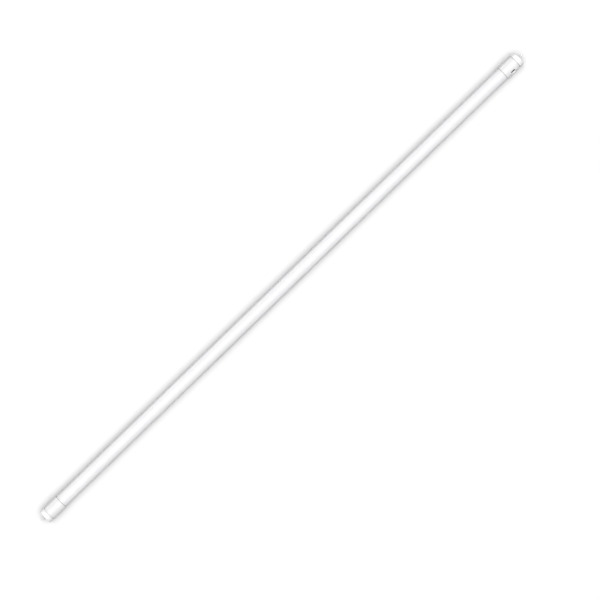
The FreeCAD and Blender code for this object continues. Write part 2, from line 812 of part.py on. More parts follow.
def makeCapScrews():
    """Four screws, two through each sleeve's web into the heat sink's ports."""
    radius = size("screwRadius")
    seat = size(webFront)
    depth = size("screwHeadHeight")
    length = size("screwLength")
    along = FreeCAD.Vector(1, 0, 0)
    cone = 1.2
    screws = []
    for turn in (RIGHT, LEFT):
        for side in (-1, 1):
            spot = (side * size("portAcross"), -size("portDrop"))
            neck = FreeCAD.Vector(seat, *spot)
            taper = FreeCAD.Vector(seat - length + cone, *spot)
            head = Part.makeCylinder(size("screwHeadRadius"), depth, neck, along)
            shank = Part.makeCylinder(radius, length - cone, taper, along)
            point = Part.makeCone(radius, 0.2, cone, taper, -along)
            screw = head.fuse([shank, point]).removeSplitter()
            for wide, tall in ((1.1, 0.2), (0.2, 1.1)):
                y, z = spot
                top = seat + depth
                screw = screw.cut(block(top - 0.8, top + 0.2, y - wide, y + wide, z - tall, z + tall))
            screw.rotate(FreeCAD.Vector(0, 0, 0), FreeCAD.Vector(0, 0, 1), turn)
            screws.append(screw)
    setShape("cap_screws", Part.makeCompound(screws))


# ---- build, check, write ----

makeDiffuserTube()
makeHeatSink()
makeThermalTape()
for boardName, boardSide in (("left", -1), ("right", 1)):
    makeLedBoard(boardName, boardSide)
    makePackages(boardName, boardSide)
makeBoardJumpers()
makeDriverParts()
makeLeads()
for capName, capTurn in (("left", LEFT), ("right", RIGHT)):
    makeSleeve(capName, capTurn)
    makeHead(capName, capTurn)
    makeRetainingRing(capName, capTurn)
    makeDetentSpring(capName, capTurn)
    makePinBoard(capName, capTurn)
    makePins(capName, capTurn)
makeShortingLink()
makeCapScrews()
doc.recompute()

for item in doc.Objects:
    assert not {"Invalid", "Error"} & set(item.State), f"{item.Label} is {item.State}"
for part in parts:
    assert not part.Shape.isNull() and part.Shape.isValid(), f"{part.Label} has no valid shape"
    part.Shape.exportStep(f"parts/{part.Label}.step")
    print(f"{part.Label}: {len(part.Shape.Solids)} solids, {part.Shape.Volume:.1f} mm3")
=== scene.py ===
import bpy
import bmesh
import math
from mathutils import Matrix, Vector


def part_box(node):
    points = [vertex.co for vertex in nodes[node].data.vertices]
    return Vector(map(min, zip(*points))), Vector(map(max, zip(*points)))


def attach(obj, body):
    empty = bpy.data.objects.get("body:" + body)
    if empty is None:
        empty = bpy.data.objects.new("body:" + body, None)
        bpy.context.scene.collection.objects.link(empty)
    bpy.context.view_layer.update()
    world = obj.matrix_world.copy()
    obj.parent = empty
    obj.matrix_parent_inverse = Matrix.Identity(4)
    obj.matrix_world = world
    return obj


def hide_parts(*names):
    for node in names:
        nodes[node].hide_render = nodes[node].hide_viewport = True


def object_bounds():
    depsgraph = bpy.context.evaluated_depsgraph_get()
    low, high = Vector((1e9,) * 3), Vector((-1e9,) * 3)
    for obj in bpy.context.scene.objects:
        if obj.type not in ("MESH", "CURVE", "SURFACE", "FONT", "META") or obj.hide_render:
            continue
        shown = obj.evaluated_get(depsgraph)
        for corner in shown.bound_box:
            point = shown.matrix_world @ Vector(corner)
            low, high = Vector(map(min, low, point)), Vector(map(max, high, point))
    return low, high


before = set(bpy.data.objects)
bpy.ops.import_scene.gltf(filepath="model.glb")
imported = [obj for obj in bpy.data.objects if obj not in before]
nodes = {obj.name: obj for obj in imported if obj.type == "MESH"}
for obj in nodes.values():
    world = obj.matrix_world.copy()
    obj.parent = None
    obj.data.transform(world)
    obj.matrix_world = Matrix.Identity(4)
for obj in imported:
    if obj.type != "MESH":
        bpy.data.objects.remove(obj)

cadBox = [list(corner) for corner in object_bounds()]
mm = 0.001
smallest = 1e-6               # stands for a radius of nothing, so that it can still be scaled
mergeWithin = 0.01 * mm
ringSides = 720               # half a degree each, so that part rings can end at any half degree
drillSides = 40
slack = 0.1 * mm              # how near counts as on a surface or at a place
overcut = 1 * mm              # how far a cutter reaches past what it cuts

# where things lie along the tube, read from the frame
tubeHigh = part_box("diffuser_tube")[1]
sleeveLow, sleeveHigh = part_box("sleeve_right")
headLow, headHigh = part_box("head_right")
pinLow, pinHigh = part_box("pins_right")
ringLow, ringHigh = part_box("retaining_ring_right")
tubeEnd = tubeHigh[0]
tubeRadius = tubeHigh[1]
sleeveBack = sleeveLow[0]
sleeveFront = sleeveHigh[0]
sleeveRadius = sleeveHigh[1]
hubEnd = headLow[0]
faceReach = headHigh[0]
headRadius = headHigh[1]
pinTip = pinHigh[0]
pinTail = pinLow[0]


def clearSelection():
    if bpy.context.mode != "OBJECT":
        bpy.ops.object.mode_set(mode="OBJECT")
    bpy.ops.object.select_all(action="DESELECT")


def makeActive(piece):
    clearSelection()
    piece.select_set(True)
    bpy.context.view_layer.objects.active = piece


def placeInMesh(piece, name):
    # the finished object sits at the origin, with its place in its mesh
    makeActive(piece)
    bpy.ops.object.transform_apply(location=True, rotation=True, scale=True)
    piece.name = name
    piece.data.name = name
    return piece


def applyAll(piece):
    makeActive(piece)
    for modifier in list(piece.modifiers):
        bpy.ops.object.modifier_apply(modifier=modifier.name)


def mergeAndFace(piece):
    makeActive(piece)
    bpy.ops.object.mode_set(mode="EDIT")
    bpy.ops.mesh.select_all(action="SELECT")
    bpy.ops.mesh.remove_doubles(threshold=mergeWithin)
    bpy.ops.mesh.normals_make_consistent(inside=False)
    bpy.ops.object.mode_set(mode="OBJECT")


def softenEdges(piece, width, segments=2, angle=32):
    bevel = piece.modifiers.new("edge", "BEVEL")
    bevel.width = width
    bevel.segments = segments
    bevel.limit_method = "ANGLE"
    bevel.angle_limit = math.radians(angle)
    applyAll(piece)


def shadeSmooth(piece, angle=32):
    makeActive(piece)
    bpy.ops.object.shade_smooth_by_angle(angle=math.radians(angle))


def selectWhere(piece, wanted):
    # picks the vertices that pass the test, with the piece in edit mode afterwards
    makeActive(piece)
    bpy.ops.object.mode_set(mode="EDIT")
    bpy.ops.mesh.select_mode(type="VERT")
    bpy.ops.mesh.select_all(action="DESELECT")
    shape = bmesh.from_edit_mesh(piece.data)
    for vertex in shape.verts:
        vertex.select = wanted(vertex.co)
    shape.select_flush(True)
    bmesh.update_edit_mesh(piece.data)


def dropFaces(piece, unwanted):
    # removes the faces whose middles pass the test
    makeActive(piece)
    bpy.ops.object.mode_set(mode="EDIT")
    bpy.ops.mesh.select_mode(type="FACE")
    bpy.ops.mesh.select_all(action="DESELECT")
    shape = bmesh.from_edit_mesh(piece.data)
    for face in shape.faces:
        face.select = unwanted(face.calc_center_median())
    bmesh.update_edit_mesh(piece.data)
    bpy.ops.mesh.delete(type="FACE")


def turnedPiece(name, stations, sides, closed=True):
    # a lathe shape about X: a loop is extruded from station to station and scaled to each radius
    start, radius = stations[0][0], max(stations[0][1], smallest)
    clearSelection()
    bpy.ops.mesh.primitive_circle_add(vertices=sides, radius=radius, location=(start, 0, 0),
                                      rotation=(0, math.pi / 2, 0))
    piece = placeInMesh(bpy.context.object, name)
    bpy.ops.object.mode_set(mode="EDIT")
    bpy.ops.mesh.select_mode(type="VERT")
    bpy.ops.mesh.select_all(action="SELECT")
    here, width = start, radius
    for place, size in stations[1:]:
        bpy.ops.mesh.extrude_region_move(TRANSFORM_OT_translate={"value": (place - here, 0, 0)})
        factor = max(size, smallest) / width
        bpy.ops.transform.resize(value=(1, factor, factor), center_override=(place, 0, 0))
        here, width = place, max(size, smallest)
    if closed:
        bpy.ops.mesh.extrude_region_move(TRANSFORM_OT_translate={"value": (start - here, 0, 0)})
        bpy.ops.transform.resize(value=(1, radius / width, radius / width), center_override=(start, 0, 0))
    bpy.ops.object.mode_set(mode="OBJECT")
    mergeAndFace(piece)
    return piece


def ringPiece(name, span, radii, turns):
    # part of a ring between two angles, in degrees either way from straight up
    (low, high), (inner, outer) = span, radii
    ring = turnedPiece(name, [(low, inner), (low, outer), (high, outer), (high, inner)], ringSides)

    def outside(spot):
        turn = math.degrees(math.atan2(spot.y, spot.z)) % 360
        return not turns[0] < turn < turns[1] and not turns[0] < turn - 360 < turns[1]

    dropFaces(ring, outside)
    bpy.ops.mesh.select_all(action="SELECT")
    bpy.ops.mesh.fill_holes(sides=4)
    bpy.ops.object.mode_set(mode="OBJECT")
    mergeAndFace(ring)
    return ring


def boxAt(low, high):
    # a cutter box between two corners
    clearSelection()
    middle = [(a + b) / 2 for a, b in zip(low, high)]
    size = [b - a for a, b in zip(low, high)]
    bpy.ops.mesh.primitive_cube_add(size=1, location=middle, scale=size)
    return placeInMesh(bpy.context.object, "cutter")


def joinPieces(pieces, name):
    clearSelection()
    for piece in pieces:
        piece.select_set(True)
    bpy.context.view_layer.objects.active = pieces[0]
    bpy.ops.object.join()
    return placeInMesh(bpy.context.object, name)


def cutWith(piece, cutter):
    cut = piece.modifiers.new("cut", "BOOLEAN")
    cut.operation = "DIFFERENCE"
    cut.solver = "EXACT"
    cut.object = cutter
    applyAll(piece)
    bpy.data.objects.remove(cutter, do_unlink=True)


def turnPiece(piece, name, angle, axis):
    piece.matrix_world = Matrix.Rotation(angle, 4, axis) @ piece.matrix_world
    return placeInMesh(piece, name)


def turnCopy(piece, name, angle, axis="X"):
    # a copy with its own mesh, turned about one of the tube's axes
    twin = piece.copy()
    twin.data = piece.data.copy()
    bpy.context.collection.objects.link(twin)
    return turnPiece(twin, name, angle, axis)


def bothEnds(piece, name):
    # each piece is drawn with the light leaving upwards, then laid on its side, and both ends
    # of the lamp use the same part, turned half round
    left = turnCopy(piece, name + "_left", math.pi, "Z")
    turnPiece(left, name + "_left", math.pi / 2, "X")
    right = turnPiece(piece, name + "_right", math.pi / 2, "X")
    return (right, "right"), (left, "left")


view = {
    "tilt": math.radians(44.09),      # how far the tube climbs across the view
    "distance": 4.0,
    "widthSeen": 1.0899,              # metres across the view at the tube's height
    "offset": (32.7 * mm, -22.7 * mm),  # from the tube's middle to the view's middle
    "sensor": 36.0,
}


def setCamera():
    right = Vector((math.cos(view["tilt"]), -math.sin(view["tilt"]), 0))
    up = Vector((math.sin(view["tilt"]), math.cos(view["tilt"]), 0))
    aim = right * view["offset"][0] + up * view["offset"][1]
    lens = bpy.data.cameras.new("viewCamera")
    lens.sensor_width = view["sensor"]
    lens.lens = view["sensor"] * view["distance"] / view["widthSeen"]
    lens.clip_end = 100
    camera = bpy.data.objects.new("viewCamera", lens)
    bpy.context.collection.objects.link(camera)
    turn = Matrix((right, up, Vector((0, 0, 1)))).transposed()
    camera.matrix_world = Matrix.Translation(aim + Vector((0, 0, view["distance"]))) @ turn.to_4x4()
    bpy.context.scene.camera = camera
    return right, up


viewRight, viewUp = setCamera()
print("camera ready")


def startMaterial(name):
    material = bpy.data.materials.new(name)
    material.use_nodes = True
    tree = material.node_tree
    shader = tree.nodes["Principled BSDF"]
    place = tree.nodes.new("ShaderNodeTexCoord")
    return material, tree, shader, place.outputs["Object"]


def addNoise(tree, place, scale, detail=3.0, stretch=None):
    source = place
    if stretch:
        mapping = tree.nodes.new("ShaderNodeMapping")
        mapping.inputs["Scale"].default_value = stretch
        tree.links.new(place, mapping.inputs["Vector"])
        source = mapping.outputs["Vector"]
    noise = tree.nodes.new("ShaderNodeTexNoise")
    noise.inputs["Scale"].default_value = scale
    noise.inputs["Detail"].default_value = detail
    tree.links.new(source, noise.inputs["Vector"])
    return noise.outputs["Fac"]


def mixColours(tree, factor, first, second, low=0.35, high=0.65):
    ramp = tree.nodes.new("ShaderNodeValToRGB")
    ramp.color_ramp.elements[0].position = low
    ramp.color_ramp.elements[0].color = (*first, 1)
    ramp.color_ramp.elements[1].position = high
    ramp.color_ramp.elements[1].color = (*second, 1)
    tree.links.new(factor, ramp.inputs["Fac"])
    return ramp.outputs["Color"]


def spread(tree, factor, low, high):
    span = tree.nodes.new("ShaderNodeMapRange")
    span.inputs["From Min"].default_value = 0.3
    span.inputs["From Max"].default_value = 0.7
    span.inputs["To Min"].default_value = low
    span.inputs["To Max"].default_value = high
    tree.links.new(factor, span.inputs["Value"])
    return span.outputs["Result"]


def addBump(tree, shader, height, depth):
    bump = tree.nodes.new("ShaderNodeBump")
    bump.inputs["Distance"].default_value = depth
    tree.links.new(height, bump.inputs["Height"])
    tree.links.new(bump.outputs["Normal"], shader.inputs["Normal"])


def paintedShadeNearSleeve(tree, place, width):
    # mask for painted shade: 1 on the tube right beside a sleeve, falling to 0 over the width
    split = tree.nodes.new("ShaderNodeSeparateXYZ")
    tree.links.new(place, split.inputs["Vector"])
    along = tree.nodes.new("ShaderNodeMath")
    along.operation = "ABSOLUTE"
    tree.links.new(split.outputs["X"], along.inputs[0])
    near = tree.nodes.new("ShaderNodeMapRange")
    near.inputs["From Min"].default_value = sleeveBack - width
    near.inputs["From Max"].default_value = sleeveBack - width / 3
    tree.links.new(along.outputs["Value"], near.inputs["Value"])
    return near.outputs["Result"]


def layColour(tree, factor, under, colour):
    # a plain colour laid over another by the factor
    lay = tree.nodes.new("ShaderNodeMix")
    lay.data_type = "RGBA"
    tree.links.new(factor, lay.inputs[0])
    tree.links.new(under, lay.inputs[6])
    lay.inputs[7].default_value = (*colour, 1)
    return lay.outputs[2]


polycarbonateIndex = 1.58


def opalPlastic(name):
    # milky extruded polycarbonate: a satin skin with very faint draw lines along its length
    look = {
        "cloud": 9,
        "lines": 900,
        "lineStretch": (0.004, 1, 1),
        "deep": (0.845, 0.845, 0.866),
        "pale": (0.87, 0.87, 0.89),
        "roughness": (0.34, 0.42),
        "drawLines": 0.02 * mm,
        "milk": 0.25,
        "milkColours": (1.0, 1.0, 1.15),
        "milkDepth": 2 * mm,
        "paintedJointShade": (0.36, 0.36, 0.37),    # painted shade: the tube darkened beside each sleeve, standing in for the shadow of the step where a sleeve begins
        "paintedShadeWidth": 0.8 * mm,
    }
    material, tree, shader, place = startMaterial(name)
    cloud = addNoise(tree, place, look["cloud"], 2)
    lines = addNoise(tree, place, look["lines"], 2, look["lineStretch"])
    skin = mixColours(tree, cloud, look["deep"], look["pale"])
    # painted shade, a darker band laid on the tube's colour right beside each sleeve
    paintedShade = paintedShadeNearSleeve(tree, place, look["paintedShadeWidth"])
    tree.links.new(layColour(tree, paintedShade, skin, look["paintedJointShade"]), shader.inputs["Base Color"])
    tree.links.new(spread(tree, lines, *look["roughness"]), shader.inputs["Roughness"])
    addBump(tree, shader, lines, look["drawLines"])
    shader.inputs["Subsurface Weight"].default_value = look["milk"]
    shader.inputs["Subsurface Radius"].default_value = look["milkColours"]
    shader.inputs["Subsurface Scale"].default_value = look["milkDepth"]
    shader.inputs["IOR"].default_value = polycarbonateIndex
    return material


def mouldedPlastic(name, first, second, roughness, grain, depth):
    # moulded white plastic: a fine spark-eroded grain over a slow change of colour and gloss
    material, tree, shader, place = startMaterial(name)
    cloud = addNoise(tree, place, 60, 2)
    fine = addNoise(tree, place, grain, 3)
    tree.links.new(mixColours(tree, cloud, first, second), shader.inputs["Base Color"])
    tree.links.new(spread(tree, cloud, *roughness), shader.inputs["Roughness"])
    addBump(tree, shader, fine, depth)
    shader.inputs["IOR"].default_value = polycarbonateIndex
    return material


def metalFinish(name, first, second, roughness, stretch):
    # metal with fine lines left by how it was worked
    look = {"lines": 1500, "cloud": 240, "lineDepth": 0.004 * mm}
    material, tree, shader, place = startMaterial(name)
    lines = addNoise(tree, place, look["lines"], 3, stretch)
    cloud = addNoise(tree, place, look["cloud"], 2)
    tree.links.new(mixColours(tree, cloud, first, second), shader.inputs["Base Color"])
    tree.links.new(spread(tree, lines, *roughness), shader.inputs["Roughness"])
    addBump(tree, shader, lines, look["lineDepth"])
    shader.inputs["Metallic"].default_value = 1.0
    return material


def plainMoulding(name, first, second, roughness, grain, depth=0.01 * mm):
    # a plain part, its grain in the gloss and the surface, and a slower change of colour
    material, tree, shader, place = startMaterial(name)
    fine = addNoise(tree, place, grain, 3)
    cloud = addNoise(tree, place, grain / 8, 2)
    tree.links.new(mixColours(tree, cloud, first, second), shader.inputs["Base Color"])
    tree.links.new(spread(tree, fine, *roughness), shader.inputs["Roughness"])
    addBump(tree, shader, fine, depth)
    return material


def boardFinish(name, ground, track, roughness):
    # a printed board: solder mask, with the copper tracks just showing through it
    look = {"trackPitch": (150, 420, 1), "trackWidth": 0.04, "grain": 900, "trackDepth": 0.03 * mm}
    material, tree, shader, place = startMaterial(name)
    mapping = tree.nodes.new("ShaderNodeMapping")
    mapping.inputs["Scale"].default_value = look["trackPitch"]
    tree.links.new(place, mapping.inputs["Vector"])
    tracks = tree.nodes.new("ShaderNodeTexBrick")
    tracks.inputs["Color1"].default_value = (*ground, 1)
    tracks.inputs["Color2"].default_value = (*ground, 1)
    tracks.inputs["Mortar"].default_value = (*track, 1)
    tracks.inputs["Mortar Size"].default_value = look["trackWidth"]
    tree.links.new(mapping.outputs["Vector"], tracks.inputs["Vector"])
    tree.links.new(tracks.outputs["Color"], shader.inputs["Base Color"])
    fine = addNoise(tree, place, look["grain"], 2)
    tree.links.new(spread(tree, fine, *roughness), shader.inputs["Roughness"])
    addBump(tree, shader, tracks.outputs["Fac"], look["trackDepth"])
    return material


def windingFinish(name, first, second, pitch):
    # wire wound in rows, its turns side by side along X
    look = {"bandsPerPitch": 0.314, "waver": 0.6, "roughness": 0.3, "metal": 0.8}
    material, tree, shader, place = startMaterial(name)
    turns = tree.nodes.new("ShaderNodeTexWave")
    turns.wave_type = "BANDS"
    turns.bands_direction = "X"
    turns.inputs["Scale"].default_value = look["bandsPerPitch"] / pitch
    turns.inputs["Distortion"].default_value = look["waver"]
    turns.inputs["Detail"].default_value = 1.0
    tree.links.new(place, turns.inputs["Vector"])
    colour = mixColours(tree, turns.outputs["Fac"], first, second, 0.1, 0.8)
    tree.links.new(colour, shader.inputs["Base Color"])
    shader.inputs["Roughness"].default_value = look["roughness"]
    shader.inputs["Metallic"].default_value = look["metal"]
    addBump(tree, shader, turns.outputs["Fac"], pitch / 3)
    return material


opal = opalPlastic("opalTube")
capWhite = mouldedPlastic("capPlastic", (0.81, 0.81, 0.822), (0.835, 0.835, 0.845), (0.30, 0.38),
                          2600, 0.012 * mm)
headWhite = mouldedPlastic("headPlastic", (0.88, 0.88, 0.88), (0.91, 0.91, 0.905), (0.20, 0.27),
                           2600, 0.006 * mm)
nickel = metalFinish("pinNickel", (0.33, 0.33, 0.32), (0.41, 0.41, 0.40), (0.2, 0.34), (0.05, 1, 1))
barMetal = metalFinish("barAluminium", (0.72, 0.73, 0.74), (0.8, 0.8, 0.81), (0.28, 0.45), (0.01, 1, 1))
springSteel = metalFinish("springSteel", (0.44, 0.45, 0.47), (0.52, 0.52, 0.54), (0.22, 0.36), (1, 0.1, 1))
zincSteel = metalFinish("zincSteel", (0.6, 0.61, 0.63), (0.7, 0.7, 0.7), (0.25, 0.4), (1, 1, 0.2))
tinned = metalFinish("tinnedCopper", (0.62, 0.61, 0.58), (0.7, 0.69, 0.66), (0.22, 0.38), (1, 1, 1))
tape = plainMoulding("thermalTape", (0.62, 0.65, 0.68), (0.7, 0.72, 0.75), (0.6, 0.75), 700, 0.03 * mm)
ledBoard = boardFinish("ledBoard", (0.88, 0.88, 0.85), (0.8, 0.8, 0.76), (0.22, 0.34))
driverMask = boardFinish("driverBoard", (0.02, 0.14, 0.06), (0.05, 0.24, 0.1), (0.22, 0.36))
pinMask = boardFinish("pinBoard", (0.03, 0.16, 0.07), (0.06, 0.26, 0.11), (0.22, 0.36))
packageWhite = plainMoulding("packageFrame", (0.86, 0.85, 0.83), (0.9, 0.89, 0.87), (0.3, 0.4), 3000)
phosphor = plainMoulding("phosphorFill", (0.86, 0.62, 0.08), (0.9, 0.7, 0.14), (0.25, 0.35), 4000, 0.02 * mm)
film = plainMoulding("insulatingFilm", (0.78, 0.78, 0.72), (0.84, 0.83, 0.78), (0.18, 0.3), 200, 0.1 * mm)
ferrite = plainMoulding("ferrite", (0.035, 0.035, 0.038), (0.06, 0.06, 0.062), (0.55, 0.72), 2200, 0.03 * mm)
copper = windingFinish("copperWinding", (0.35, 0.12, 0.04), (0.72, 0.32, 0.14), 0.35 * mm)
windingTape = plainMoulding("windingTape", (0.72, 0.5, 0.06), (0.78, 0.57, 0.09), (0.25, 0.4), 500, 0.04 * mm)
chipBlack = plainMoulding("chipBlack", (0.012, 0.012, 0.013), (0.022, 0.022, 0.024), (0.4, 0.55), 3600)
canSleeve = plainMoulding("canSleeve", (0.012, 0.014, 0.03), (0.02, 0.022, 0.045), (0.18, 0.3),
                          400, 0.03 * mm)
bobbinBlack = plainMoulding("bobbinPlastic", (0.02, 0.02, 0.02), (0.035, 0.035, 0.035), (0.35, 0.5), 2000)
fuseCoat = plainMoulding("fuseCoat", (0.04, 0.14, 0.08), (0.06, 0.19, 0.1), (0.25, 0.38), 1600)
dippedBlue = plainMoulding("dippedBlue", (0.01, 0.04, 0.2), (0.015, 0.06, 0.27), (0.3, 0.45), 900, 0.06 * mm)
caseYellow = plainMoulding("caseYellow", (0.68, 0.42, 0.02), (0.75, 0.48, 0.03), (0.25, 0.35), 1800)
wireColours = {
    "live_lead": ((0.10, 0.03, 0.012), (0.14, 0.05, 0.02)),
    "neutral_lead": ((0.01, 0.05, 0.3), (0.015, 0.07, 0.38)),
    "dc_lead_positive": ((0.36, 0.01, 0.01), (0.45, 0.015, 0.015)),
    "dc_lead_negative": ((0.01, 0.01, 0.01), (0.022, 0.022, 0.022)),
}

nodeFinishes = {
    "heat_sink": barMetal, "thermal_tape": tape, "board_jumpers": tinned, "shorting_link": tinned,
    "driver_board": driverMask, "driver_film": film, "input_fuse": fuseCoat, "varistor": dippedBlue,
    "film_capacitor": caseYellow, "choke_core": ferrite, "choke_winding": copper,
    "bridge_rectifier": chipBlack,
    "input_capacitor": canSleeve, "output_capacitor": canSleeve, "transformer_core": ferrite,
    "transformer_bobbin": bobbinBlack, "transformer_winding": windingTape, "control_chip": chipBlack,
    "driver_resistors": chipBlack, "cap_screws": zincSteel, "diffuser_tube": opal,
}
for sideName in ("left", "right"):
    nodeFinishes[f"led_board_{sideName}"] = ledBoard
    nodeFinishes[f"led_packages_{sideName}"] = packageWhite
    nodeFinishes[f"led_phosphor_{sideName}"] = phosphor
    nodeFinishes[f"pin_board_{sideName}"] = pinMask
    nodeFinishes[f"retaining_ring_{sideName}"] = springSteel
    nodeFinishes[f"detent_spring_{sideName}"] = springSteel
    nodeFinishes[f"sleeve_{sideName}"] = capWhite
    nodeFinishes[f"head_{sideName}"] = headWhite
    nodeFinishes[f"pins_{sideName}"] = nickel
for wireName, (dark, light) in wireColours.items():
    nodeFinishes[wireName] = plainMoulding(wireName + "Skin", dark, light, (0.35, 0.5), 1400)


def setFinish(piece, material):
    piece.data.materials.clear()
    piece.data.materials.append(material)


def keepShade(piece):
    # white next to white would bounce the contact shade away
    piece.visible_diffuse = False


for nodeName, node in nodes.items():
    setFinish(node, nodeFinishes[nodeName])
print("materials ready")


tube = {
    "sides": 160,
    "wall": 1.2 * mm,
    "lengths": 46,          # even steps along the tube
    "railDepth": 1.1 * mm,
    "railHeight": 0.7 * mm,
    "railLows": (2.35 * mm, 0.15 * mm),
    "railRoot": 0.3 * mm,     # how far a rail's foot is sunk in the wall
    "railRound": 0.12 * mm,
    "endGap": 0.2 * mm,
    "endRound": 0.25 * mm,
}


def makeRail(side, low):
    # one of the four rails that the heat sink slides between
    bore = tubeRadius - tube["wall"]
    reach = tubeEnd - tube["endGap"]
    edges = sorted((side * (bore - tube["railDepth"]), side * (bore + tube["railRoot"])))
    rail = boxAt((-reach, edges[0], low), (reach, edges[1], low + tube["railHeight"]))
    softenEdges(rail, tube["railRound"], 2)
    return rail


def makeOpalTube():
    bore = tubeRadius - tube["wall"]
    outside = [(-tubeEnd + 2 * tubeEnd * step / tube["lengths"], tubeRadius)
               for step in range(tube["lengths"] + 1)]
    inside = [(tubeEnd, bore), (-tubeEnd, bore)]
    shell = turnedPiece("opal_tube", outside + inside, tube["sides"])
    softenEdges(shell, tube["endRound"], 2, 60)
    rails = [makeRail(side, low) for side in (-1, 1) for low in tube["railLows"]]
    tubePiece = joinPieces([shell] + rails, "opal_tube")
    turnPiece(tubePiece, "opal_tube", math.pi / 2, "X")
    shadeSmooth(tubePiece)
    setFinish(tubePiece, opal)
    keepShade(tubePiece)
    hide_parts("diffuser_tube")
    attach(tubePiece, "tube")


makeOpalTube()
print("tube ready")

sleeve = {
    "sides": 192,
    "seatGap": 0.05 * mm,
    "mouthFlare": 0.05 * mm,
    "bore": 12.3 * mm,
    "web": 2.0 * mm,
    "webHole": 6.0 * mm,
    "frontWall": 2.5 * mm,
    "bearing": 10.3 * mm,
    "leadIn": 0.5 * mm,
    "mouthEdge": 0.6 * mm,
    "edgeRound": 0.3 * mm,
    "fittingRoot": 0.15 * mm,        # how far a rib or ear is sunk in the wall
    "fittingRound": 0.12 * mm,
    "fittingPlay": 0.1 * mm,         # past the band that a rib or ear works in
    "ribBack": 3.4 * mm,
    "ribTurns": (100.5, 259.5),      # degrees from straight up
    "ribFoot": 10.6 * mm,
    "earTurns": ((19.5, 24), (336, 340.5)),
    "earFoot": 11.4 * mm,
    "screwAcross": 8.8 * mm,
    "screwDrop": 2.4 * mm,
    "screwHole": 1.3 * mm,
    "lineWidth": 0.4 * mm,
    "lineDepth": 0.2 * mm,
    "lineSpan": (2.6 * mm, 0.6 * mm),    # back from the sleeve's front
    "longLine": 4.6 * mm,
    "clicksAside": 6,
    "ventAside": (6.0 * mm, 11.2 * mm),
    "ventFoot": 4.5 * mm,
    "ventStart": 0.2 * mm,           # from the web's front
    "ventLength": 8.8 * mm,
    "ventCorner": 1.3 * mm,
}
# where the lug and the click spring run, from the hub's end
running = {"lug": (3.3 * mm, 5.9 * mm), "click": 2.8 * mm, "clickPitch": 15}
lugBand = tuple(hubEnd + reach for reach in running["lug"])
clickBand = (hubEnd, hubEnd + running["click"])
clickPitch = math.radians(running["clickPitch"])


def roundCutter(start, end, spot, radius):
    # a cutter that drills along the tube at one spot of its section
    clearSelection()
    place = ((start + end) / 2, spot[0], spot[1])
    bpy.ops.mesh.primitive_cylinder_add(vertices=drillSides, radius=radius, depth=end - start,
                                        location=place, rotation=(0, math.pi / 2, 0))
    return placeInMesh(bpy.context.object, "cutter")


def scaleCutters():
    # one engraved line for each click over the half turn that the light can be aimed through
    cutters = []
    half = sleeve["lineWidth"] / 2
    low = sleeveRadius - sleeve["lineDepth"]
    high = sleeveRadius + overcut / 2
    for step in range(-sleeve["clicksAside"], sleeve["clicksAside"] + 1):
        start, end = (sleeveFront - reach for reach in sleeve["lineSpan"])
        if step == 0:
            start = sleeveFront - sleeve["longLine"]
        line = boxAt((start, -half, low), (end, half, high))
        cutters.append(turnPiece(line, "cutter", step * clickPitch, "X"))
    return cutters


def ventCutter():
    # a round-ended slot on one side, into the space between the web and the hub
    start = tubeEnd + sleeve["web"] + sleeve["ventStart"]
    near, far = sleeve["ventAside"]
    end = start + sleeve["ventLength"]
    slot = boxAt((start, near, sleeve["ventFoot"]), (end, far, sleeveRadius + overcut))
    makeActive(slot)
    bpy.ops.object.mode_set(mode="EDIT")
    bpy.ops.mesh.select_mode(type="EDGE")
    bpy.ops.mesh.select_all(action="DESELECT")
    shape = bmesh.from_edit_mesh(slot.data)
    for edge in shape.edges:
        first, second = (vertex.co for vertex in edge.verts)
        edge.select = abs(first.z - second.z) > overcut    # the four upright edges
    bmesh.update_edit_mesh(slot.data)
    bpy.ops.mesh.bevel(offset=sleeve["ventCorner"], segments=6)
    bpy.ops.object.mode_set(mode="OBJECT")
    return slot


def sleeveFittings():
    # the stop rib, and the two ears that keep the click spring in place
    outer = sleeve["bore"] + sleeve["fittingRoot"]
    play = sleeve["fittingPlay"]
    ribSpan = (lugBand[0] - sleeve["ribBack"], lugBand[1] + play)
    earSpan = (clickBand[0] - play, clickBand[1])
    fittings = [ringPiece("rib", ribSpan, (sleeve["ribFoot"], outer), sleeve["ribTurns"])]
    for turns in sleeve["earTurns"]:
        fittings.append(ringPiece("ear", earSpan, (sleeve["earFoot"], outer), turns))
    for fitting in fittings:
        softenEdges(fitting, sleeve["fittingRound"], 2, 50)
    return fittings


def makeSleeve():
    seat = tubeRadius + sleeve["seatGap"]
    wallBack = sleeveFront - sleeve["frontWall"]
    webFront = tubeEnd + sleeve["web"]
    lead = sleeve["leadIn"]
    mouth = sleeve["mouthEdge"]
    body = turnedPiece("sleeve_shell", [
        (sleeveBack, seat + sleeve["mouthFlare"]), (sleeveBack, sleeveRadius - mouth),
        (sleeveBack + mouth, sleeveRadius),
        (tubeEnd - 4 * mm, sleeveRadius), (tubeEnd + 1 * mm, sleeveRadius), (tubeEnd + 12 * mm, sleeveRadius),
        (sleeveFront - 5.5 * mm, sleeveRadius), (sleeveFront, sleeveRadius),
        (sleeveFront, sleeve["bearing"]), (wallBack, sleeve["bearing"]), (wallBack, sleeve["bore"]),
        (webFront, sleeve["bore"]), (webFront, sleeve["webHole"]), (tubeEnd, sleeve["webHole"]),
        (tubeEnd, seat), (sleeveBack + lead, seat)], sleeve["sides"])
    softenEdges(body, sleeve["edgeRound"], 3, 60)
    cutters = scaleCutters() + [ventCutter()]
    for side in (-1, 1):
        spot = (side * sleeve["screwAcross"], -sleeve["screwDrop"])
        cutters.append(roundCutter(tubeEnd - overcut, webFront + overcut, spot, sleeve["screwHole"]))
    cutWith(body, joinPieces(cutters, "cutter"))
    body = joinPieces([body] + sleeveFittings(), "end_sleeve")
    shadeSmooth(body, 28)
    setFinish(body, capWhite)
    return body


